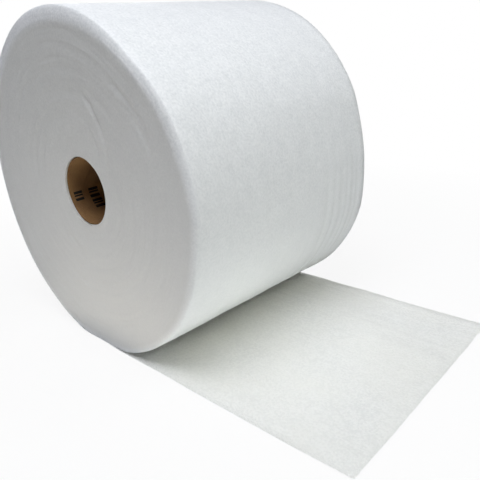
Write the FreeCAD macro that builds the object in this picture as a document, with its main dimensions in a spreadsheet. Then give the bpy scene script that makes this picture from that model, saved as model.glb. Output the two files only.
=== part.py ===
import FreeCAD, Part
import math
import os
import Sketcher

# A roll of expanded polyethylene foam wrap, wound on a tube of paperboard. It
# lies on its side. Its outer turn has come away from the underside of the
# roll, and the free end lies flat on the floor.
#
# Frame, in mm: the origin is the middle of the tube's bore, Y runs along the
# roll's axis, Z is up, and the free end of the web runs out to +X.

vector = FreeCAD.Vector
document = FreeCAD.newDocument("foam_wrap_roll")

# --------------------------------------------------------------- driving sizes

SIZES = [
    ("web_width", 305.0, "width the foam web is slit to, 12 inch"),
    ("foam_thickness", 1.6, "thickness of one layer of foam, 1/16 inch"),
    ("roll_radius", 196.0, "radius over the outer turn"),
    ("flat_depth", 3.0, "how far the soft roll is pressed in where it rests"),
    ("tail_reach", 360.0, "from under the roll's axis to the cut end, near edge"),
    ("cut_skew", 5.0, "how much less the far edge of the free end reaches"),
    ("rim_radius", 9.5, "rounding of the roll's soft rims"),
    ("dish_depth", 9.5, "how far each end face falls from the rim to the tube"),
    ("bore_radius", 38.1, "bore of the tube, 3 inch across"),
    ("tube_wall", 1.5, "wall of the tube"),
    ("tube_recess", 0.5, "how far the tube ends inside the foam that is round it"),
    ("wrap_gap", 0.05, "between the tube and the first turn of foam"),
    ("ring_pitch", 20.0, "between the rings that draw the turns' edges"),
    ("ring_breadth", 3.0, "width of such a ring where its profile starts"),
    ("ring_depth", 1.6, "depth of such a ring in the end face"),
    ("ring_margin", 8.0, "plain band kept beside the tube and beside the rim"),
    ("cutter_rise", 0.4, "how far each ring's profile starts outside the face"),
]

sheet = document.addObject("Spreadsheet::Sheet", "sizes")
for row, (name, size, meaning) in enumerate(SIZES, start=1):
    sheet.set(f"A{row}", name)
    sheet.set(f"B{row}", str(size))
    sheet.setAlias(f"B{row}", name)
    sheet.set(f"C{row}", meaning)
document.recompute()

# Lengths that follow from the sizes, in the words that sketches and features read.
HALF_WIDTH = "(sizes.web_width / 2)"
AXIS_HEIGHT = "(sizes.roll_radius - sizes.flat_depth)"
RIM_START = "(sizes.roll_radius - sizes.rim_radius)"
FOAM_BORE = "(sizes.bore_radius + sizes.tube_wall + sizes.wrap_gap)"
DISH_SLOPE = f"(sizes.dish_depth / ({RIM_START} - {FOAM_BORE}))"

RIM_FLATS = 3  # straight steps that each rounded rim is made of


def value_of(expression):
    """The number that an expression comes to with the present sizes."""
    return float(sheet.evalExpression(expression))


def face_distance(radius):
    """From the roll's middle plane out to its dished end face, at a radius from the axis."""
    return f"({HALF_WIDTH} - {DISH_SLOPE} * ({RIM_START} - {radius}))"


# --------------------------------------------------- what every sketch is made with

def sketch_on(body, plane_role, name):
    """An empty sketch on one of the body's own base planes."""
    planes = {feature.Role: feature for feature in body.Origin.OriginFeatures}
    sketch = body.newObject("Sketcher::SketchObject", name)
    sketch.AttachmentSupport = [(planes[plane_role], "")]
    sketch.MapMode = "FlatFace"
    return sketch


def add_driven(sketch, kind, *where, expression):
    """Add a dimension to a sketch and bind it to an expression of the sizes."""
    dimension = Sketcher.Constraint(kind, *where, value_of(expression))
    index = sketch.addConstraint(dimension)
    sketch.setExpression(f"Constraints[{index}]", expression)


def pin_start(sketch, edge, across, up):
    """Hold the start of an edge at a distance across and up from the sketch's origin."""
    for kind, cross_axis, expression in (("DistanceX", -2, across), ("DistanceY", -1, up)):
        place = value_of(expression)
        if place == 0:
            sketch.addConstraint(Sketcher.Constraint("PointOnObject", edge, 1, cross_axis))
        elif place > 0:
            add_driven(sketch, kind, -1, 1, edge, 1, expression=expression)
        else:
            add_driven(sketch, kind, edge, 1, -1, 1, expression=f"-({expression})")


def add_outline(sketch, corners):
    """A closed outline of straight edges, each corner given as (across, up)."""
    first = sketch.GeometryCount
    count = len(corners)
    points = [vector(value_of(across), value_of(up), 0) for across, up in corners]
    for number, point in enumerate(points):
        sketch.addGeometry(Part.LineSegment(point, points[(number + 1) % count]))
    for number, (across, up) in enumerate(corners):
        edge = first + number
        next_edge = first + (number + 1) % count
        sketch.addConstraint(Sketcher.Constraint("Coincident", edge, 2, next_edge, 1))
        pin_start(sketch, edge, across, up)


# --------------------------------------------------------------- the core tube

def make_core_tube():
    """Plies of kraft board wound and glued into a tube, a little shorter than the web."""
    body = document.addObject("PartDesign::Body", "core_tube")
    section = sketch_on(body, "XZ_Plane", "tube_section")
    for radius in ("sizes.bore_radius", "sizes.bore_radius + sizes.tube_wall"):
        circle = Part.Circle(vector(0, 0, 0), vector(0, 0, 1), value_of(radius))
        edge = section.addGeometry(circle)
        section.addConstraint(Sketcher.Constraint("Coincident", edge, 3, -1, 1))
        add_driven(section, "Radius", edge, expression=radius)

    tube = body.newObject("PartDesign::Pad", "tube")
    tube.Profile = section
    tube.SideType = "Symmetric"
    tube.setExpression("Length", f"2 * ({face_distance(FOAM_BORE)} - sizes.tube_recess)")
    body.Tip = tube
    return body


# ---------------------------------------------------------------- the foam web

def wind_roll(body):
    """The wound turns as one ring: dished end faces, soft rims, a hole for the tube."""
    far_side = [(face_distance(FOAM_BORE), FOAM_BORE)]
    for step in range(RIM_FLATS + 1):
        angle = f"{90 * step / RIM_FLATS:g} deg"
        across = f"({HALF_WIDTH} - sizes.rim_radius * (1 - cos({angle})))"
        up = f"({RIM_START} + sizes.rim_radius * sin({angle}))"
        far_side.append((across, up))
    near_side = [(f"-{across}", up) for across, up in reversed(far_side)]

    section = sketch_on(body, "YZ_Plane", "roll_section")
    add_outline(section, far_side + near_side)
    roll = body.newObject("PartDesign::Revolution", "roll")
    roll.Profile = section
    roll.ReferenceAxis = (section, ["H_Axis"])
    roll.Angle = 360


def press_flat(body):
    """Cut the small flat that the roll's own weight presses into its underside."""
    below = sketch_on(body, "XZ_Plane", "below_the_floor")
    add_outline(below, [
        ("-sizes.roll_radius", f"-{AXIS_HEIGHT}"),
        ("-sizes.roll_radius", "-2 * sizes.roll_radius"),
        ("sizes.roll_radius", "-2 * sizes.roll_radius"),
        ("sizes.roll_radius", f"-{AXIS_HEIGHT}"),
    ])
    flat = body.newObject("PartDesign::Pocket", "resting_flat")
    flat.Profile = below
    flat.Type = "ThroughAll"
    flat.SideType = "Symmetric"


def lay_free_end(body):
    """The loose end of the web: one layer on the floor, cut a little out of square."""
    outline = sketch_on(body, "XY_Plane", "free_end_outline")
    outline.setExpression("AttachmentOffset.Base.z", f"-{AXIS_HEIGHT}")
    add_outline(outline, [
        ("0", f"-{HALF_WIDTH}"),
        ("sizes.tail_reach", f"-{HALF_WIDTH}"),
        ("sizes.tail_reach - sizes.cut_skew", HALF_WIDTH),
        ("0", HALF_WIDTH),
    ])
    free_end = body.newObject("PartDesign::Pad", "free_end")
    free_end.Profile = outline
    free_end.setExpression("Length", "sizes.foam_thickness")


def draw_turns(body):
    """Cut rings into both end faces, for the edges of the turns.

    From one turn to the next the real web moves out by its own thickness only, so
    each turn's edge is very nearly a ring. The turns lie too close to cut each of
    them, and one ring stands for several.
    """
    profiles = sketch_on(body, "YZ_Plane", "ring_profiles")
    cut_band = value_of(f"{RIM_START} - {FOAM_BORE} - 2 * sizes.ring_margin")
    ring_count = 1 + int(cut_band / value_of("sizes.ring_pitch"))
    for ring in range(ring_count):
        radius = f"({FOAM_BORE} + sizes.ring_margin + {ring} * sizes.ring_pitch)"
        mouth = f"-({face_distance(radius)} + sizes.cutter_rise)"
        bottom = f"-({face_distance(radius)} - sizes.ring_depth)"
        lower_edge = f"({radius} - sizes.ring_breadth / 2)"
        upper_edge = f"({radius} + sizes.ring_breadth / 2)"
        add_outline(profiles, [(mouth, lower_edge), (bottom, radius), (mouth, upper_edge)])

    rings = body.newObject("PartDesign::Groove", "turns_on_near_end")
    rings.Profile = profiles
    rings.ReferenceAxis = (profiles, ["H_Axis"])
    rings.Angle = 360

    both_ends = body.newObject("PartDesign::Mirrored", "turns_on_both_ends")
    both_ends.Originals = [rings]
    both_ends.MirrorPlane = (profiles, ["V_Axis"])
    return both_ends


def make_foam_web():
    """The whole web, from its first turn on the tube to its loose end on the floor."""
    body = document.addObject("PartDesign::Body", "foam_web")
    wind_roll(body)
    press_flat(body)
    lay_free_end(body)
    body.Tip = draw_turns(body)
    return body


# ------------------------------------------------------- build, check and write

pieces = [make_core_tube(), make_foam_web()]
document.recompute()

for item in document.Objects:
    if "Invalid" in item.State or "Error" in item.State:
        raise RuntimeError(f"{item.Name} did not build: {item.State}")

for piece in pieces:
    features = [item for item in piece.Group if item.isDerivedFrom("PartDesign::Feature")]
    for before, after in zip(features, features[1:]):
        adds = after.TypeId == "PartDesign::Pad"
        if (after.Shape.Volume > before.Shape.Volume) != adds:
            raise RuntimeError(f"{after.Name} points away from the solid")
    if piece.Shape.isNull() or not piece.Shape.isValid() or len(piece.Shape.Solids) != 1:
        raise RuntimeError(f"{piece.Label} is not one good solid")

os.makedirs("parts", exist_ok=True)
for piece in pieces:
    piece.Shape.exportStep(f"parts/{piece.Label}.step")
    print(piece.Label, f"{piece.Shape.Volume / 1e6:.3f} litres", piece.Shape.BoundBox)
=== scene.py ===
"""A roll of foam wrap on its tube of kraft board, lying on the floor with its free end out.

The order is that of making one: the tube is wound first, then the foam web is wound on it,
and then the roll is set down in its light. Every length here is in metres.
"""

import math

import bpy
from mathutils import Matrix, Vector


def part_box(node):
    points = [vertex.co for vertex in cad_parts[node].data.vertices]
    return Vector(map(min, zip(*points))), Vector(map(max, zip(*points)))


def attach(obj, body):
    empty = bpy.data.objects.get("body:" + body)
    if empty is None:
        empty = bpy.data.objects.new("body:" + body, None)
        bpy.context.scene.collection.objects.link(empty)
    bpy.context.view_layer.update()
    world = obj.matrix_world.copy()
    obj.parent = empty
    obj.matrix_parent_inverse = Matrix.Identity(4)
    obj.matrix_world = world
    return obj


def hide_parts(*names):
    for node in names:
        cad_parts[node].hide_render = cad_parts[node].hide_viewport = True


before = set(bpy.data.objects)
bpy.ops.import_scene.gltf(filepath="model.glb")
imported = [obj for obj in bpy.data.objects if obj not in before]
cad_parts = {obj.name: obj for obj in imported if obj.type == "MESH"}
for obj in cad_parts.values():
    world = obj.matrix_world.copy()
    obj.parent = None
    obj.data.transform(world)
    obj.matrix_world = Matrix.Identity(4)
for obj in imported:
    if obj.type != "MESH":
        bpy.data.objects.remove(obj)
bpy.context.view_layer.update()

# ------------------------------------------------------------------- core tube
# A tube of kraft board, 76 mm inside. Three plies of brown paperboard are wound as
# strips on a steel mandrel, each on a helix, glued to each other and sawn to length.
# Each ply's own two edges meet in a butt joint that runs round the bore.

PLIES = 3
PLY_TURNS = 4
STEPS_A_TURN = 96
FIRST_START = 0.6  # where round the tube the innermost ply starts, in radians
PLY_STAGGER = 2.4  # how much further round each ply starts than the one inside it
CUT_SPREAD = 0.0002  # how far one ply's end may stand past the next at the saw cut
CUT_SHIFT = 2.3  # how far along a sine wave of that height one ply's end is from the next
SAW_ROOM = 0.2  # how wide and high the block is that the tube is sawn down to
BOARD_CORNER = 30  # the board's edges stay sharp where it bends more than this, in degrees

tube_low, tube_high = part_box("core_tube")
TUBE_LENGTH = tube_high.y - tube_low.y
TUBE_OUTSIDE = tube_high.x
TUBE_WALL = 0.0015
BORE_RADIUS = TUBE_OUTSIDE - TUBE_WALL

# The stamps inside the tube: the angle of each one's middle from the top towards the free
# end, in degrees, its half length, how far along the roll it is, and its half height.
STAMPS = (
    (-109, 0.0062, -0.1325, 0.0055),
    (-122, 0.0150, -0.1115, 0.0065),
)
BAR_PITCH = 0.00293  # from one bar of a stamp to the next, on average
INK_STARTS, INK_FULL = 0.46, 0.49  # where the noise that spaces the bars passes into ink


def add(tree, kind, *given, named=None, **settings):
    """A new node in a tree: its settings by name, then its inputs in order or by name."""
    node = tree.nodes.new(kind)
    for name, setting in settings.items():
        setattr(node, name, setting)
    for socket, value in [*enumerate(given), *(named or {}).items()]:
        if isinstance(value, bpy.types.Node):
            value = value.outputs[0]
        if isinstance(value, bpy.types.NodeSocket):
            tree.links.new(value, node.inputs[socket])
        elif value is not None:
            node.inputs[socket].default_value = value
    return node


def linear(srgb_hex):
    """An sRGB colour such as "b58a5a" as the linear RGBA that a socket holds."""
    shares = [int(srgb_hex[place:place + 2], 16) / 255 for place in (0, 2, 4)]
    rgb = [s / 12.92 if s <= 0.04045 else ((s + 0.055) / 1.055) ** 2.4 for s in shares]
    return (*rgb, 1.0)


def start_material(name, roughness, ior, specular):
    """A new material of the plain shader, with the node tree and the shader's own inputs."""
    material = bpy.data.materials.new(name)
    material.use_nodes = True
    shader = material.node_tree.nodes["Principled BSDF"]
    shader.inputs["Roughness"].default_value = roughness
    shader.inputs["IOR"].default_value = ior
    shader.inputs["Specular IOR Level"].default_value = specular
    return material, material.node_tree, shader


def start_tree(name, sizes):
    """An empty Geometry Nodes tree with one named input for each size."""
    tree = bpy.data.node_groups.new(name, "GeometryNodeTree")
    for label, size in sizes.items():
        kind = "NodeSocketInt" if isinstance(size, int) else "NodeSocketFloat"
        tree.interface.new_socket(label, in_out="INPUT", socket_type=kind)
    tree.interface.new_socket("Geometry", in_out="OUTPUT", socket_type="NodeSocketGeometry")
    return tree


def end_tree(tree, surface, corner, material):
    """End a tree: smooth but for corners past so many degrees, of a material, as its output."""
    smooth = add(tree, "GeometryNodeSetShadeSmooth", surface, domain="FACE")
    bend = add(tree, "GeometryNodeInputMeshEdgeAngle").outputs["Unsigned Angle"]
    sharp = add(tree, "FunctionNodeCompare", bend, math.radians(corner))
    shaded = add(tree, "GeometryNodeSetShadeSmooth", smooth, sharp, False, domain="EDGE")
    real = add(tree, "GeometryNodeRealizeInstances", shaded)
    finished = add(tree, "GeometryNodeSetMaterial", real, named={"Material": material})
    add(tree, "NodeGroupOutput", finished)


def grow(name, tree, sizes):
    """A piece with the mesh that a tree makes of these sizes, and no modifier left on it."""
    piece = bpy.data.objects.new(name, bpy.data.meshes.new(name))
    bpy.context.scene.collection.objects.link(piece)
    modifier = piece.modifiers.new(tree.name, "NODES")
    modifier.node_group = tree
    for socket in tree.interface.items_tree:
        if socket.in_out == "INPUT":
            modifier[socket.identifier] = sizes[socket.name]
    graph = bpy.context.evaluated_depsgraph_get()
    mesh = bpy.data.meshes.new_from_object(piece.evaluated_get(graph), depsgraph=graph)
    piece.modifiers.remove(modifier)
    piece.data = mesh
    mesh.name = name
    # Set Material adds its slot after an empty one, which is dropped.
    for slot in reversed(range(len(mesh.materials))):
        if mesh.materials[slot] is None:
            mesh.materials.pop(index=slot)
    return piece


def make_kraft_board():
    """Unbleached kraft paperboard: brown, dull, with short fibres that lie along each ply."""
    material, tree, shader = start_material(
        "kraft_paperboard", roughness=0.82, ior=1.47, specular=0.3)
    place = add(tree, "ShaderNodeTexCoord").outputs["Object"]
    # Fibres are about 3 mm long and 0.3 mm thick here; real ones are finer than would show.
    along_ply = add(tree, "ShaderNodeMapping", place, named={"Scale": (1.0, 9.0, 1.0)})
    fibres = add(tree, "ShaderNodeTexNoise", named={
        "Vector": along_ply.outputs[0], "Scale": 1 / 0.003, "Detail": 3.0, "Roughness": 0.6})
    blotches = add(tree, "ShaderNodeTexNoise", named={
        "Vector": place, "Scale": 1 / 0.03, "Detail": 2.0})
    tone = add(tree, "ShaderNodeMix", 0.5, None, fibres, blotches)
    colour = add(tree, "ShaderNodeValToRGB", tone)
    dark, light = colour.color_ramp.elements
    dark.position, dark.color = 0.3, linear("78593a")
    light.position, light.color = 0.7, linear("a58053")
    # Two stamped batch marks of plain black bars run round inside the tube's near end.
    # Map Range takes a value, the two ends of its range, and what those two ends become.
    x, along, z = add(tree, "ShaderNodeSeparateXYZ", place).outputs
    round_tube = add(tree, "ShaderNodeMath", x, z, operation="ARCTAN2")
    bars = add(tree, "ShaderNodeTexNoise", noise_dimensions="1D", named={
        "W": round_tube.outputs[0], "Scale": BORE_RADIUS / BAR_PITCH, "Detail": 0.0})
    inked = 0.0
    for middle, half_length, row, half_height in STAMPS:
        in_length = add(tree, "ShaderNodeMath", round_tube, math.radians(middle),
                        half_length / BORE_RADIUS, operation="COMPARE")
        in_height = add(tree, "ShaderNodeMath", along, row, half_height, operation="COMPARE")
        in_stamp = add(tree, "ShaderNodeMath", in_length, in_height, operation="MULTIPLY")
        bar = add(tree, "ShaderNodeMapRange", bars, INK_STARTS, INK_FULL, 0.0, in_stamp)
        inked = add(tree, "ShaderNodeMath", inked, bar, operation="MAXIMUM")
    printed = add(tree, "ShaderNodeMix", data_type="RGBA", named={
        0: inked, 6: colour, 7: linear("1c1a18")}).outputs[2]
    tree.links.new(printed, shader.inputs["Base Color"])
    raised = add(tree, "ShaderNodeBump", named={
        "Height": fibres.outputs[0], "Strength": 0.35, "Distance": 0.0003})
    tree.links.new(raised.outputs[0], shader.inputs["Normal"])
    return material


tube_sizes = {
    "Inner radius": BORE_RADIUS,
    "Ply thickness": TUBE_WALL / PLIES,
    "Glue line": 0.00002,
    "Lead": 0.110,  # how far along the tube a ply climbs in one turn
    "Butt gap": 0.0009,  # between a ply's own two edges
    "Length": TUBE_LENGTH,
}
spiral_tube = start_tree("spiral_wound_tube", tube_sizes)
given = add(spiral_tube, "NodeGroupInput").outputs
place = add(spiral_tube, "ShaderNodeSeparateXYZ", add(spiral_tube, "GeometryNodeInputPosition"))
ply_width = add(
    spiral_tube, "ShaderNodeMath", given["Lead"], given["Butt gap"], operation="SUBTRACT")
board = add(
    spiral_tube, "ShaderNodeMath", given["Ply thickness"], given["Glue line"],
    operation="SUBTRACT")
climb = add(
    spiral_tube, "ShaderNodeMath", place.outputs["X"], 2 * math.pi, operation="DIVIDE")
climbed = add(
    spiral_tube, "ShaderNodeMath", climb, given["Lead"], place.outputs["Y"],
    operation="MULTIPLY_ADD")
strip_size = add(
    spiral_tube, "ShaderNodeCombineXYZ", 2 * math.pi * PLY_TURNS, ply_width, board)

tube_plies = add(spiral_tube, "GeometryNodeJoinGeometry")
for ply in range(PLIES):
    strip = add(spiral_tube, "GeometryNodeMeshCube", strip_size, named={
        "Vertices X": PLY_TURNS * STEPS_A_TURN + 1})
    middle = add(
        spiral_tube, "ShaderNodeMath", given["Ply thickness"], ply + 0.5, given["Inner radius"],
        operation="MULTIPLY_ADD")
    radius = add(spiral_tube, "ShaderNodeMath", place.outputs["Z"], middle, operation="ADD")
    # Each ply starts further round than the one inside it, so no two joints lie together.
    turn = add(
        spiral_tube, "ShaderNodeMath", place.outputs["X"], FIRST_START + PLY_STAGGER * ply,
        operation="ADD")
    flat_place = add(spiral_tube, "ShaderNodeCombineXYZ", radius, climbed, 0.0)
    wound_place = add(
        spiral_tube, "ShaderNodeVectorRotate", rotation_type="Y_AXIS",
        named={"Vector": flat_place.outputs[0], "Angle": turn.outputs[0]})
    wound = add(
        spiral_tube, "GeometryNodeSetPosition", strip,
        named={"Position": wound_place.outputs[0]})
    end_shift = CUT_SPREAD * math.sin(CUT_SHIFT * ply)
    cut_length = add(
        spiral_tube, "ShaderNodeMath", given["Length"], end_shift, operation="ADD")
    saw_block = add(spiral_tube, "ShaderNodeCombineXYZ", SAW_ROOM, cut_length, SAW_ROOM)
    kept = add(spiral_tube, "GeometryNodeMeshCube", saw_block)
    sawn = add(spiral_tube, "GeometryNodeMeshBoolean", operation="INTERSECT", solver="EXACT")
    spiral_tube.links.new(wound.outputs[0], sawn.inputs["Mesh 2"])
    spiral_tube.links.new(kept.outputs[0], sawn.inputs["Mesh 2"])
    spiral_tube.links.new(sawn.outputs[0], tube_plies.inputs[0])

end_tree(spiral_tube, tube_plies, BOARD_CORNER, make_kraft_board())
core_tube = grow("spiral_core_tube", spiral_tube, tube_sizes)
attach(core_tube, "root")
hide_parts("core_tube")

# -------------------------------------------------------------------- foam web
# One web of expanded polyethylene foam, 1.6 mm thick, slit to 12 inch and wound on the
# tube in 97 turns. Each turn's cut edges show on the end faces. The wind is soft, so the
# roll is a little out of round, and the last of the web lies on the floor.

web_low, web_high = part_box("foam_web")
WEB_WIDTH = web_high.y - web_low.y
AXIS_HEIGHT = -web_low.z
ROLL_RADIUS = web_high.z
WRAP_GAP = 0.00005
OUTER_RADIUS = ROLL_RADIUS + 0.0008  # the last turn lies a little loose on the others
SPREAD_WIDTH = WEB_WIDTH + 0.0010  # no two turns lie quite in line, so the roll is wider
FREE_REACH = web_high.x - 0.0010  # the free end's waves draw its cut back a little
FOAM_CORNER = 50  # the foam's edges stay sharp where it bends more than this, in degrees

# Angles on the roll are in degrees from its underside towards the free end.
SOFT_RIM_AT = 205  # where the rims are softest
SOFTEST_RIM = 1.5  # times their plain reach
SHARPEST_RIM = 0.6
PRESSED_RIM = 0.25  # the share of a rim's depth that is left under the roll's weight
# How far out of round each end is: how many times round, how far, and where it stands out.
NEAR_LOBES = ((1, 0.0034, -73), (2, 0.00185, 43), (3, 0.00145, -110))
FAR_LOBES = ((0, 0.0015, 0), (1, 0.0035, -70), (2, 0.0030, 58), (3, 0.0024, 101))
# Each end also leans out or in at places: how far, at which angle, and how far each way.
NEAR_LEANS = ((0.0060, 109, 32), (-0.0022, -29, 26))
FAR_LEANS = ((-0.0038, 93, 24),)

# Creases in the near face, where turns were pushed in: the radius and angle of each one's
# middle, how its radius grows per radian, how far round it goes each way, its width, and
# its depth.
CREASES = (
    (0.0905, 140, 0.068, 28, 0.012, 0.0030),
    (0.0700, 144, 0.065, 20, 0.008, 0.0012),
    (0.1575, 127, -0.004, 20, 0.012, 0.0015),
    (0.1500, 122, -0.006, 16, 0.010, 0.0012),
    (0.0820, -19, 0.020, 26, 0.012, 0.0008),
)

# How the foam looks. Painted sparkle: its speckle is calm low on the roll, strongest on the
# free end.
CALM_BELOW, FULL_ABOVE = -0.08, 0.10  # heights from the axis, where it is calm and full
CALM_SPECKLE, FULL_SPECKLE, FREE_END_SPECKLE = 0.4, 1.1, 2.1
# The end faces' grey is painted shade, of the gaps between the turns' cut edges.
GAP_SHADE_GREY = 0.5  # the share of grey in the colour of the end faces
# The free end's warm white is painted light.
PAINTED_LIGHT_LEAST, PAINTED_LIGHT_MOST = 0.52, 0.72  # the share of the warm white in the free end's colour
SLACK_FROM, SLACK_TO = 0.03, 0.08  # along the roll, where its low bands start and are full
SLACK_TOP, SLACK_LOW = 0.03, -0.06  # and the same in height from the axis
SLACK_ON_FREE_END = 0.25  # the share of the bands' height that the free end has


def make_white_foam():
    """Expanded polyethylene foam: white, matt, of closed cells that show as a fine speckle."""
    material, tree, shader = start_material(
        "expanded_polyethylene_foam", roughness=0.55, ior=1.5, specular=0.35)
    shader.inputs["Subsurface Weight"].default_value = 0.15
    shader.inputs["Subsurface Radius"].default_value = (1.0, 1.0, 1.0)
    shader.inputs["Subsurface Scale"].default_value = 0.003

    place = add(tree, "ShaderNodeTexCoord").outputs["Object"]
    # The cells are about 1 mm across, and are drawn at 2.5 mm so that they show.
    cells = add(tree, "ShaderNodeTexNoise", named={
        "Vector": place, "Scale": 1 / 0.0025, "Detail": 2.0, "Roughness": 0.6})
    # The die leaves faint streaks along the web, which is round the roll and along X.
    along_web = add(tree, "ShaderNodeMapping", place, named={"Scale": (0.08, 1.0, 0.08)})
    streaks = add(tree, "ShaderNodeTexNoise", named={
        "Vector": along_web.outputs[0], "Scale": 1 / 0.005, "Detail": 2.0})
    cloud = add(tree, "ShaderNodeTexNoise", named={
        "Vector": place, "Scale": 1 / 0.015, "Detail": 3.0})
    patches = add(tree, "ShaderNodeMath", streaks, 0.15, cells, operation="MULTIPLY_ADD")
    mottling = add(tree, "ShaderNodeMath", cloud, 0.3, patches, operation="MULTIPLY_ADD")
    tone = add(tree, "ShaderNodeMapRange", mottling, 0.45, 1.0)
    # Painted sparkle: the speckle shows most on the lit upper side and the free end, calm
    # below.
    one_layer = add(tree, "ShaderNodeAttribute", attribute_name="one_layer").outputs["Fac"]
    apart = add(tree, "ShaderNodeSeparateXYZ", place).outputs
    height = apart["Z"]
    painted_sparkle_on_top = add(tree, "ShaderNodeMapRange", height, CALM_BELOW, FULL_ABOVE,
                 CALM_SPECKLE, FULL_SPECKLE)
    painted_sparkle_on_free_end = add(tree, "ShaderNodeMath", one_layer, FREE_END_SPECKLE,
                      operation="MULTIPLY")
    speckle = add(tree, "ShaderNodeMath", painted_sparkle_on_top, painted_sparkle_on_free_end, operation="MAXIMUM")
    shown = add(tree, "ShaderNodeMix", speckle, None, 0.5, tone, clamp_factor=False)
    colour = add(tree, "ShaderNodeValToRGB", shown)
    dark, light = colour.color_ramp.elements
    dark.color = linear("e6e8e9")
    light.color = linear("fcfdfd")
    # Painted shade of the gaps between the turns' cut edges: the end faces are greyer and
    # calmer.
    painted_gap_shade = add(tree, "ShaderNodeAttribute", attribute_name="painted_gap_shade").outputs["Fac"]
    gap_shade_greyed = add(tree, "ShaderNodeMath", painted_gap_shade, GAP_SHADE_GREY, operation="MULTIPLY")
    seen_colour = add(tree, "ShaderNodeMix", data_type="RGBA", named={
        0: gap_shade_greyed, 6: colour, 7: linear("d2d1cb")}).outputs[2]
    # Painted light of the floor through one layer alone: lighter and warmer, most where it lies
    # close.
    lying = add(tree, "ShaderNodeTexNoise", named={
        "Vector": place, "Scale": 1 / 0.09, "Detail": 1.0})
    floor_light_share = add(tree, "ShaderNodeMapRange", lying, 0.3, 0.7, PAINTED_LIGHT_LEAST, PAINTED_LIGHT_MOST)
    painted_floor_light = add(tree, "ShaderNodeMath", one_layer, floor_light_share, operation="MULTIPLY")
    seen_colour = add(tree, "ShaderNodeMix", data_type="RGBA", named={
        0: painted_floor_light, 6: seen_colour, 7: linear("fffef5")}).outputs[2]
    tree.links.new(seen_colour, shader.inputs["Base Color"])
    # Toward the far end the web was wound a little slack: low bands run along it, on the
    # roll's lower side, and fainter ones on the free end.
    bands = add(tree, "ShaderNodeTexNoise", noise_dimensions="1D", named={
        "W": apart["Y"], "Scale": 1 / 0.012, "Detail": 0.0})
    toward_end = add(tree, "ShaderNodeMapRange", apart["Y"], SLACK_FROM, SLACK_TO)
    low_down = add(tree, "ShaderNodeMapRange", height, SLACK_TOP, SLACK_LOW)
    slack = add(tree, "ShaderNodeMath", toward_end, low_down, operation="MULTIPLY")
    fainter = add(tree, "ShaderNodeMapRange", one_layer, 0.0, 1.0, 1.0,
                  SLACK_ON_FREE_END)
    banded = add(tree, "ShaderNodeMath", slack, fainter, operation="MULTIPLY")
    banded_surface = add(tree, "ShaderNodeBump", named={
        "Height": bands.outputs[0], "Strength": banded, "Distance": 0.0040})
    bumpy = add(tree, "ShaderNodeMapRange", painted_gap_shade, 0.0, 1.0, 0.4, 0.2)
    roughened = add(tree, "ShaderNodeMath", bumpy, speckle, operation="MULTIPLY",
                    use_clamp=True)
    raised = add(tree, "ShaderNodeBump", named={
        "Height": patches.outputs[0], "Strength": roughened, "Distance": 0.0010,
        "Normal": banded_surface})
    tree.links.new(raised.outputs[0], shader.inputs["Normal"])
    return material


web_sizes = {
    "Turns": 97,
    "Steps a turn": 200,
    "Steps across": 40,
    "Steps of free end": 58,
    "Inner radius": TUBE_OUTSIDE + WRAP_GAP,
    "Outer radius": OUTER_RADIUS,
    "Width": SPREAD_WIDTH,
    "Dish": 0.0095,
    "Core swell": 0.0004,  # how far the first few turns stand out
    "Swell from tube": 0.004,
    "Swell reach": 0.005,
    "Rim reach": 0.0120,  # how far in from the outer turn the rounding starts
    "Rim depth": 0.0070,
    "Flat depth": OUTER_RADIUS - AXIS_HEIGHT,
    "Free reach": FREE_REACH,
    "Cut skew": 0.005,
    "Tuck length": 0.030,  # over which the rim's rounding dies out on the free end
    "Parting length": 0.050,  # over which the free end becomes one layer alone
    "Loose from": 0.060,  # where on the free end its waves begin
    "Loose by": 0.160,  # and where they have their full height
    "Turn ridge": 0.00005,  # how far the middle of each turn's cut edge stands out
    "Face relief": 0.0009,
    "Face wave": 0.012,
    "Side relief": 0.0006,
    "Free end lift": 0.0020,
    "Free end wrinkle": 0.0012,
    "Edge crush": 0.0014,
    "Gap shade inside rim": 0.004,  # the end face's grey fades from so far inside the rim's start
    "Gap shade past rim": 0.006,  # to so far past it
    "Seam": 0.00004,  # points this close to each other become one
}
wound_web = start_tree("wound_web", web_sizes)
given = add(wound_web, "NodeGroupInput").outputs

# The web is first laid out flat, in steps of its own: X counts turns from the tube, Y goes
# from -1 at the near edge to 1 at the far one, and Z is 0 on the side that faces the tube
# and 1 on the outside. Only the sides that show are laid: both edges, the outside of the
# last turn, the inside of the first one, both sides of the free end, and the two cuts.
free_turns = add(
    wound_web, "ShaderNodeMath", given["Steps of free end"], given["Steps a turn"],
    operation="DIVIDE")
all_turns = add(wound_web, "ShaderNodeMath", given["Turns"], free_turns, operation="ADD")
outer_turns = add(wound_web, "ShaderNodeMath", free_turns, 1.0, operation="ADD")
turn_points = add(wound_web, "ShaderNodeMath", given["Steps a turn"], 1.0, operation="ADD")
free_points = add(
    wound_web, "ShaderNodeMath", given["Steps of free end"], 1.0, operation="ADD")
outer_points = add(
    wound_web, "ShaderNodeMath", given["Steps a turn"], free_points, operation="ADD")
all_points = add(
    wound_web, "ShaderNodeMath", given["Turns"], given["Steps a turn"], free_points,
    operation="MULTIPLY_ADD")
across_points = add(wound_web, "ShaderNodeMath", given["Steps across"], 1.0, operation="ADD")
last_turn = add(wound_web, "ShaderNodeMath", given["Turns"], 1.0, operation="SUBTRACT")

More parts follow.
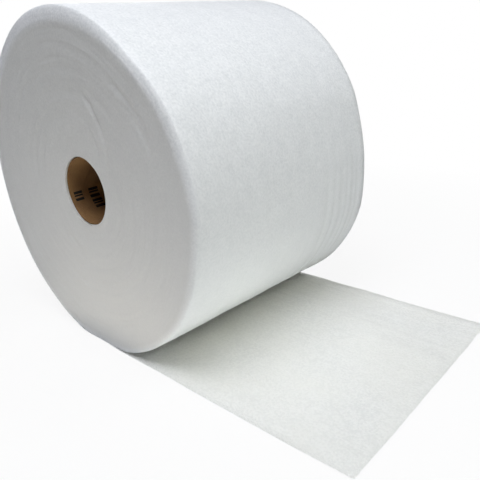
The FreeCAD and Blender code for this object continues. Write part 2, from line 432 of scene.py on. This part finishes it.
QUARTER = math.pi / 2
SHEETS = (
    # starts at, runs for, points along, points across, breadth, middle Y, middle Z, turned
    (0.0, all_turns, all_points, 3, 1.0, -1.0, 0.5, (QUARTER, 0, 0)),
    (0.0, all_turns, all_points, 3, 1.0, 1.0, 0.5, (-QUARTER, 0, 0)),
    (last_turn, outer_turns, outer_points, across_points, 2.0, 0.0, 1.0, (0, 0, 0)),
    (given["Turns"], free_turns, free_points, across_points, 2.0, 0.0, 0.0, (math.pi, 0, 0)),
    (0.0, 1.0, turn_points, across_points, 2.0, 0.0, 0.0, (math.pi, 0, 0)),
)
flat_web = add(wound_web, "GeometryNodeJoinGeometry")
for start, run, points, rows, breadth, middle_y, middle_z, turned in SHEETS:
    sheet = add(wound_web, "GeometryNodeMeshGrid", run, breadth, points, rows)
    middle_x = add(
        wound_web, "ShaderNodeMath", run, 0.5, start, operation="MULTIPLY_ADD")
    middle = add(wound_web, "ShaderNodeCombineXYZ", middle_x, middle_y, middle_z)
    laid = add(wound_web, "GeometryNodeTransform", named={
        "Geometry": sheet.outputs[0], "Translation": middle.outputs[0], "Rotation": turned})
    wound_web.links.new(laid.outputs[0], flat_web.inputs[0])
for cut_at, turned in ((0.0, (0, -QUARTER, 0)), (all_turns, (0, QUARTER, 0))):
    cut = add(wound_web, "GeometryNodeMeshGrid", 1.0, 2.0, 3, across_points)
    middle = add(wound_web, "ShaderNodeCombineXYZ", cut_at, 0.0, 0.5)
    laid = add(wound_web, "GeometryNodeTransform", named={
        "Geometry": cut.outputs[0], "Translation": middle.outputs[0], "Rotation": turned})
    wound_web.links.new(laid.outputs[0], flat_web.inputs[0])

# Where each point of the flat web goes on the roll: its angle from the roll's underside,
# its radius, and how far through the wound foam it is, from 0 at the tube to 1 outside.
flat_place = add(
    wound_web, "ShaderNodeSeparateXYZ", add(wound_web, "GeometryNodeInputPosition"))
turn, across, depth = flat_place.outputs
wound_turn = add(wound_web, "ShaderNodeMath", turn, given["Turns"], operation="MINIMUM")
angle = add(wound_web, "ShaderNodeMath", wound_turn, 2 * math.pi, operation="MULTIPLY")
cosine = add(wound_web, "ShaderNodeMath", angle, operation="COSINE")
sine = add(wound_web, "ShaderNodeMath", angle, operation="SINE")
layer = add(wound_web, "ShaderNodeMath", wound_turn, depth, operation="ADD")
layers = add(wound_web, "ShaderNodeMath", given["Turns"], 1.0, operation="ADD")
radius = add(wound_web, "ShaderNodeMapRange", layer, 0.0, layers,
             given["Inner radius"], given["Outer radius"])
through = add(wound_web, "ShaderNodeMapRange", radius, given["Inner radius"],
              given["Outer radius"], 0.0, 1.0)
through_squared = add(wound_web, "ShaderNodeMath", through, 2.0, operation="POWER")
through_fourth = add(wound_web, "ShaderNodeMath", through, 4.0, operation="POWER")
far_share = add(wound_web, "ShaderNodeMapRange", across, -1.0, 1.0, 0.0, 1.0)

# Soft winding: each end is out of round in its own way, and the side has shallow bands.
# Noise here lies mostly between 0.25 and 0.75, so ranges within that are what is mapped.
lobed_ends = []
for lobes, leans in ((NEAR_LOBES, NEAR_LEANS), (FAR_LOBES, FAR_LEANS)):
    swell = 0.0
    for lean, leans_at, lean_spread in leans:
        from_lean = add(wound_web, "ShaderNodeMath", angle, math.radians(leans_at),
                        operation="SUBTRACT")
        leaning = add(wound_web, "ShaderNodeMapRange",
                      add(wound_web, "ShaderNodeMath", from_lean, operation="COSINE"),
                      math.cos(math.radians(lean_spread)), 1.0, 0.0, lean,
                      interpolation_type="SMOOTHSTEP")
        swell = add(wound_web, "ShaderNodeMath", leaning, swell, operation="ADD")
    for count, stands_out, stands_at in lobes:
        lobe_angle = add(
            wound_web, "ShaderNodeMath", angle, count, -math.radians(stands_at),
            operation="MULTIPLY_ADD")
        lobe = add(wound_web, "ShaderNodeMath", lobe_angle, operation="COSINE")
        swell = add(wound_web, "ShaderNodeMath", lobe, stands_out, swell,
                    operation="MULTIPLY_ADD")
    lobed_ends.append(swell)
swollen = add(wound_web, "ShaderNodeMapRange", far_share, 0.0, 1.0, *lobed_ends)
# The bands are about 23 mm wide: each unit across is half the web's width.
band_place = add(
    wound_web, "ShaderNodeCombineXYZ",
    add(wound_web, "ShaderNodeMath", across, 5.0, operation="MULTIPLY"), cosine, sine)
bands = add(wound_web, "ShaderNodeTexNoise", named={
    "Vector": band_place.outputs[0], "Scale": 1.3, "Detail": 2.0})
banded = add(wound_web, "ShaderNodeMapRange", bands, 0.25, 0.75,
             add(wound_web, "ShaderNodeMath", given["Side relief"], -1.0,
                 operation="MULTIPLY"), given["Side relief"])
out_of_true = add(wound_web, "ShaderNodeMath", swollen, banded, operation="ADD")
true_radius = add(wound_web, "ShaderNodeMath", through_squared, out_of_true, radius,
                  operation="MULTIPLY_ADD")

# The roll's weight presses its underside flat, most in the outer turns.
pressed = add(wound_web, "ShaderNodeMath", through_fourth, given["Flat depth"],
              operation="MULTIPLY")
flat_height = add(wound_web, "ShaderNodeMath", radius, pressed, operation="SUBTRACT")
# The slant is kept above 0, so that the flat stays out of reach of the roll's upper half.
slant = add(wound_web, "ShaderNodeMath", cosine, 0.05, operation="MAXIMUM")
flat_radius = add(wound_web, "ShaderNodeMath", flat_height, slant, operation="DIVIDE")
pressed_radius = add(wound_web, "ShaderNodeMath", true_radius, flat_radius, pressed,
                     operation="SMOOTH_MIN")

# The free end runs out straight from the underside.
free_share = add(wound_web, "ShaderNodeMapRange", turn, given["Turns"], all_turns, 0.0, 1.0)
far_reach = add(wound_web, "ShaderNodeMath", given["Free reach"], given["Cut skew"],
                operation="SUBTRACT")
reach = add(wound_web, "ShaderNodeMapRange", far_share, 0.0, 1.0, given["Free reach"],
            far_reach)
run_out = add(wound_web, "ShaderNodeMath", free_share, reach, operation="MULTIPLY")
alone = add(wound_web, "ShaderNodeMapRange", run_out, 0.0, given["Parting length"], 0.0, 1.0)
loose = add(wound_web, "ShaderNodeMapRange", run_out, given["Loose from"], given["Loose by"],
            0.0, 1.0, interpolation_type="SMOOTHSTEP")
# Waves about 110 mm long and as wide lift it here and there, and so do wrinkles about
# 140 mm long and 20 mm wide. Across the web, one unit is half its width.
WAVE_SEED = 4.0
WAVES_A_UNIT = (9.0, 1.3, 1.0)
WRINKLES_A_UNIT = (7.0, 8.0, 1.0)
wave_place = add(wound_web, "ShaderNodeCombineXYZ", run_out, across, WAVE_SEED)
lifted = 0.0
for a_unit, wave_height in ((WAVES_A_UNIT, given["Free end lift"]),
                            (WRINKLES_A_UNIT, given["Free end wrinkle"])):
    in_waves = add(wound_web, "ShaderNodeVectorMath", wave_place, a_unit,
                   operation="MULTIPLY")
    waves = add(wound_web, "ShaderNodeTexNoise", named={
        "Vector": in_waves.outputs[0], "Scale": 1.0, "Detail": 1.0})
    wave = add(wound_web, "ShaderNodeMapRange", waves, 0.45, 0.75, 0.0, wave_height,
               interpolation_type="SMOOTHSTEP")
    lifted = add(wound_web, "ShaderNodeMath", lifted, wave, operation="ADD")
lift = add(wound_web, "ShaderNodeMath", lifted, loose, operation="MULTIPLY")

# The slitting knives leave the edges a little crushed, which shows on the free end.
LAST_ROW = 0.999  # only the outermost row of points is past this share of the way to an edge
edge_only = add(wound_web, "ShaderNodeMath",
                add(wound_web, "ShaderNodeMath", across, operation="ABSOLUTE"), LAST_ROW,
                operation="GREATER_THAN")
at_cut = add(wound_web, "ShaderNodeMath", free_share, LAST_ROW, operation="GREATER_THAN")
at_edge = add(wound_web, "ShaderNodeMath", edge_only, at_cut, operation="MAXIMUM")
crushed = add(wound_web, "ShaderNodeMath", at_edge, given["Edge crush"], operation="MULTIPLY")
from_floor = add(wound_web, "ShaderNodeMath", 1.0, depth, operation="SUBTRACT")
sunk_edge = add(wound_web, "ShaderNodeMath",
                add(wound_web, "ShaderNodeMath", crushed, from_floor, operation="MULTIPLY"),
                alone, operation="MULTIPLY")
free_height = add(wound_web, "ShaderNodeMath", lift, sunk_edge, operation="SUBTRACT")

# Half the width at each radius: dished towards the tube and rounded at the rim.
# The rim is softest near the top, away from the free end, and sharpest beside and under it.
# Both ranges are cosines of the angle from its softest place: 0.4 is 66 degrees away, and
# -0.6 is 127.
from_soft = add(wound_web, "ShaderNodeMath", angle, math.radians(SOFT_RIM_AT),
                operation="SUBTRACT")
near_soft = add(wound_web, "ShaderNodeMath", from_soft, operation="COSINE")
softer = add(wound_web, "ShaderNodeMapRange", near_soft, 0.4, 1.0, 1.0, SOFTEST_RIM,
             interpolation_type="SMOOTHSTEP")
sharper = add(wound_web, "ShaderNodeMapRange", near_soft, -0.6, 0.0, SHARPEST_RIM, 1.0,
              interpolation_type="SMOOTHSTEP")
softness = add(wound_web, "ShaderNodeMath", softer, sharper, operation="MULTIPLY")
soft_reach = add(wound_web, "ShaderNodeMath", softness, given["Rim reach"],
                 operation="MULTIPLY")
rim_start = add(wound_web, "ShaderNodeMath", given["Outer radius"], soft_reach,
                operation="SUBTRACT")
dished = add(wound_web, "ShaderNodeMapRange", radius, given["Inner radius"], rim_start,
             given["Dish"], 0.0)
# The first few turns stand out in a low ring, a little way from the tube's own end.
swell_at = add(wound_web, "ShaderNodeMath", given["Inner radius"], given["Swell from tube"],
               operation="ADD")
off_swell = add(wound_web, "ShaderNodeMath", radius, swell_at, operation="SUBTRACT")
swollen_ring = add(wound_web, "ShaderNodeMapRange",
                   add(wound_web, "ShaderNodeMath", off_swell, operation="ABSOLUTE"),
                   0.0, given["Swell reach"], given["Core swell"], 0.0,
                   interpolation_type="SMOOTHSTEP")
sunk = add(wound_web, "ShaderNodeMath", dished, swollen_ring, operation="SUBTRACT")
over_rim = add(wound_web, "ShaderNodeMapRange", radius, rim_start, given["Outer radius"],
               0.0, 1.0)
rim_left = add(wound_web, "ShaderNodeMath",
               add(wound_web, "ShaderNodeMath", over_rim, over_rim, operation="MULTIPLY"),
               1.0, operation="SUBTRACT")
rim_curve = add(wound_web, "ShaderNodeMath",
                add(wound_web, "ShaderNodeMath", rim_left, operation="ABSOLUTE"),
                operation="SQRT")
rim_drop = add(wound_web, "ShaderNodeMath", 1.0, rim_curve, operation="SUBTRACT")
tuck = add(wound_web, "ShaderNodeMapRange", run_out, 0.0, given["Tuck length"],
           given["Rim depth"], 0.0, interpolation_type="SMOOTHSTEP")
# The roll's weight squares the rim near the underside: from 37 degrees off it, where the
# cosine is 0.80, to 8 degrees off it, where it is 0.99.
squared = add(wound_web, "ShaderNodeMapRange", cosine, 0.80, 0.99, 1.0, PRESSED_RIM,
              interpolation_type="SMOOTHSTEP")
rim_depth = add(wound_web, "ShaderNodeMath", tuck, squared, operation="MULTIPLY")
tucked = add(wound_web, "ShaderNodeMath", rim_drop, rim_depth, sunk,
             operation="MULTIPLY_ADD")
half_width = add(wound_web, "ShaderNodeMath", given["Width"], 0.5, operation="MULTIPLY")
plain_half = add(wound_web, "ShaderNodeMath", half_width, tucked, operation="SUBTRACT")

# The cut edges: a ridge for each turn, higher and lower by turns, on faces with low waves.
# The crest reaches a half and the noise is a half on average, so four times both is whole.
crest = add(wound_web, "ShaderNodeMath", depth, 0.5, operation="PINGPONG")
uneven = add(wound_web, "ShaderNodeTexNoise", noise_dimensions="1D", named={
    "W": turn, "Scale": 0.7, "Detail": 2.0})
ridge_height = add(wound_web, "ShaderNodeMath", uneven, given["Turn ridge"],
                   operation="MULTIPLY")
ridge = add(wound_web, "ShaderNodeMath", crest, ridge_height, operation="MULTIPLY")
ridges = add(wound_web, "ShaderNodeMath", ridge, 4.0, operation="MULTIPLY")
face_place = add(wound_web, "ShaderNodeCombineXYZ",
                 add(wound_web, "ShaderNodeMath", radius, given["Face wave"],
                     operation="DIVIDE"), cosine, sine)
face_noise = add(wound_web, "ShaderNodeTexNoise", named={
    "Vector": face_place.outputs[0], "Scale": 1.0, "Detail": 3.0})
low_waves = add(wound_web, "ShaderNodeMapRange", face_noise, 0.3, 0.7, 0.0,
                given["Face relief"])
relief = add(wound_web, "ShaderNodeMath", ridges, low_waves, operation="ADD")
on_near_face = add(wound_web, "ShaderNodeMath", across, 0.0, operation="LESS_THAN")
for crease_radius, crease_angle, growth, spread, crease_width, crease_depth in CREASES:
    round_from = add(wound_web, "ShaderNodeMath", angle, math.radians(crease_angle),
                     operation="SUBTRACT")
    cosine_from = add(wound_web, "ShaderNodeMath", round_from, operation="COSINE")
    sine_from = add(wound_web, "ShaderNodeMath", round_from, operation="SINE")
    from_middle = add(wound_web, "ShaderNodeMath", sine_from, cosine_from, operation="ARCTAN2")
    crease_line = add(wound_web, "ShaderNodeMath", from_middle, growth, crease_radius,
                      operation="MULTIPLY_ADD")
    deepest = add(wound_web, "ShaderNodeMapRange", cosine_from,
                  math.cos(math.radians(spread)), 1.0, 0.0, -crease_depth,
                  interpolation_type="SMOOTHSTEP")
    off_line = add(wound_web, "ShaderNodeMath",
                   add(wound_web, "ShaderNodeMath", radius, crease_line, operation="SUBTRACT"),
                   operation="ABSOLUTE")
    crease = add(wound_web, "ShaderNodeMapRange", off_line, 0.0, crease_width / 2, deepest, 0.0,
                 interpolation_type="SMOOTHSTEP")
    relief = add(wound_web, "ShaderNodeMath", crease, on_near_face, relief,
                 operation="MULTIPLY_ADD")
relieved_half = add(wound_web, "ShaderNodeMath", edge_only, relief, plain_half,
                    operation="MULTIPLY_ADD")
place_across = add(wound_web, "ShaderNodeMath", across, relieved_half, operation="MULTIPLY")

# Wind it: from straight under the axis, round by the angle, and then out along the floor.
under_axis = add(wound_web, "ShaderNodeCombineXYZ", 0.0, place_across,
                 add(wound_web, "ShaderNodeMath", pressed_radius, -1.0,
                     operation="MULTIPLY"))
turned_place = add(wound_web, "ShaderNodeVectorRotate", rotation_type="Y_AXIS", invert=True,
                   named={"Vector": under_axis.outputs[0], "Angle": angle.outputs[0]})
laid_out = add(wound_web, "ShaderNodeCombineXYZ", run_out, 0.0, free_height)
wound_place = add(wound_web, "ShaderNodeVectorMath", turned_place, laid_out, operation="ADD")
# The mark of the material's painted gap shade on the cut edges: 1 on an end face, 0 on rim and
# side.
past_face = add(wound_web, "ShaderNodeMath", radius, rim_start, operation="SUBTRACT")
inside_rim = add(wound_web, "ShaderNodeMath", given["Gap shade inside rim"], -1.0,
                 operation="MULTIPLY")
face_share = add(wound_web, "ShaderNodeMapRange", past_face, inside_rim,
                 given["Gap shade past rim"], edge_only, 0.0, interpolation_type="SMOOTHSTEP")
in_roll = add(wound_web, "ShaderNodeMath", 1.0, alone, operation="SUBTRACT")
gap_shade_share = add(wound_web, "ShaderNodeMath", face_share, in_roll, operation="MULTIPLY")
marked = add(wound_web, "GeometryNodeStoreNamedAttribute", flat_web, named={
    "Name": "painted_gap_shade", "Value": gap_shade_share.outputs[0]})
# And the mark of the web where it is one layer alone: 0 on the roll, 1 on the free end.
marked = add(wound_web, "GeometryNodeStoreNamedAttribute", marked, named={
    "Name": "one_layer", "Value": alone.outputs[0]})
wound = add(wound_web, "GeometryNodeSetPosition", marked,
            named={"Position": wound_place.outputs[0]})
# The flat web is left-handed beside the roll, so its faces are turned over once it's wound.
outward = add(wound_web, "GeometryNodeFlipFaces", wound)
closed = add(wound_web, "GeometryNodeMergeByDistance", outward, named={
    "Distance": given["Seam"]})
end_tree(wound_web, closed, FOAM_CORNER, make_white_foam())
foam_roll = grow("wound_foam_web", wound_web, web_sizes)
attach(foam_roll, "root")
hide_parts("foam_web")

# ----------------------------------------------------------- floor, light, camera
# A plain white floor and backdrop, and four large soft lamps. Two small low cards throw
# some light up into the shade under the near end and beside the roll.

FLOOR_REACH = 6.0
FADE_STARTS, FADE_ENDS = 0.35, 0.9  # how far from the roll's middle the shade fades out
SHADE_SEEN = 0.12  # the share of the floor's own shade that is seen inside that

floor_mesh = bpy.data.meshes.new("floor")
floor_corners = [(x, y, web_low.z) for x, y in (
    (-FLOOR_REACH, -FLOOR_REACH), (FLOOR_REACH, -FLOOR_REACH),
    (FLOOR_REACH, FLOOR_REACH), (-FLOOR_REACH, FLOOR_REACH))]
floor_mesh.from_pydata(floor_corners, [], [(0, 1, 2, 3)])
floor = bpy.data.objects.new("floor", floor_mesh)
bpy.context.scene.collection.objects.link(floor)

floor_material, tree, matt = start_material(
    "white_floor", roughness=1.0, ior=1.5, specular=0.0)
matt.inputs["Base Color"].default_value = linear("f8f8f8")
rays = add(tree, "ShaderNodeLightPath").outputs
white = add(tree, "ShaderNodeEmission", linear("ffffff"), 1.0)
# Near the roll the floor keeps some shade; further out it blends into the white backdrop.
spread = add(tree, "ShaderNodeVectorMath", add(tree, "ShaderNodeTexCoord").outputs["Object"],
             operation="LENGTH").outputs["Value"]
blended = add(tree, "ShaderNodeMapRange", spread, FADE_STARTS, FADE_ENDS, 1 - SHADE_SEEN, 1.0)
to_camera = add(tree, "ShaderNodeMath", rays["Is Camera Ray"], blended, operation="MULTIPLY")
seen = add(tree, "ShaderNodeMixShader", to_camera, matt, white)
tree.links.new(seen.outputs[0], tree.nodes["Material Output"].inputs["Surface"])
floor_mesh.materials.append(floor_material)

# The backdrop is white to the eye and gives no light.
world = bpy.data.worlds.new("white_backdrop")
bpy.context.scene.world = world
world.use_nodes = True
tree = world.node_tree
backdrop = tree.nodes["Background"]
backdrop.inputs["Color"].default_value = linear("ffffff")
rays = add(tree, "ShaderNodeLightPath").outputs
tree.links.new(rays["Is Camera Ray"], backdrop.inputs["Strength"])


def hang_lamp(name, place, target, size, power, colour):
    """A square soft lamp of a size and a power in watts, turned to face a target."""
    lamp = bpy.data.lights.new(name, "AREA")
    lamp.size = size
    lamp.energy = power
    lamp.color = linear(colour)[:3]
    holder = bpy.data.objects.new(name, lamp)
    holder.location = place
    aim = Vector(target) - Vector(place)
    holder.rotation_euler = aim.to_track_quat("-Z", "Y").to_euler()
    holder.visible_camera = False
    bpy.context.scene.collection.objects.link(holder)


LAMPS_FACE = (0.0, 0.0, -0.05)  # a little below the roll's middle
hang_lamp("key", (0.25, -0.5, 1.6), LAMPS_FACE, 1.0, 20.8, "f5f7ff")
hang_lamp("side_fill", (1.2, -0.2, 0.8), LAMPS_FACE, 0.6, 4.0, "f8fbf0")
hang_lamp("back_fill", (1.2, 0.8, 2.0), LAMPS_FACE, 1.0, 10.9, "f8fbff")
hang_lamp("far_left_fill", (-1.3, 0.6, 0.4), LAMPS_FACE, 0.8, 6.0, "ffffff")
for name, place, size, power, colour in (
        ("low_card_in_front", (0.04, -0.33, -0.185), 0.3, 0.195, "fff6e2"),
        ("low_card_beside", (0.26, -0.08, -0.188), 0.15, 0.054, "f4faf0")):
    straight_up = Vector(place) + Vector((0.0, 0.0, 1.0))
    hang_lamp(name, place, straight_up, size, power, colour)

CAMERA_PLACE = (0.5395, -0.4522, 0.1531)
CAMERA_HEADING = 44.17  # degrees to the left of straight along the roll's axis
CAMERA_DOWN = 20.68  # degrees below level
CAMERA_TILT = -4.15  # degrees round its own line of sight
camera_data = bpy.data.cameras.new("camera")
camera_data.sensor_width = 36.0
camera_data.lens = 40.3
camera = bpy.data.objects.new("camera", camera_data)
camera.matrix_world = (
    Matrix.Translation(CAMERA_PLACE)
    @ Matrix.Rotation(math.radians(CAMERA_HEADING), 4, "Z")
    @ Matrix.Rotation(math.radians(90 - CAMERA_DOWN), 4, "X")
    @ Matrix.Rotation(math.radians(CAMERA_TILT), 4, "Z"))
bpy.context.scene.collection.objects.link(camera)
bpy.context.scene.camera = camera
bpy.context.scene.view_settings.view_transform = "Standard"
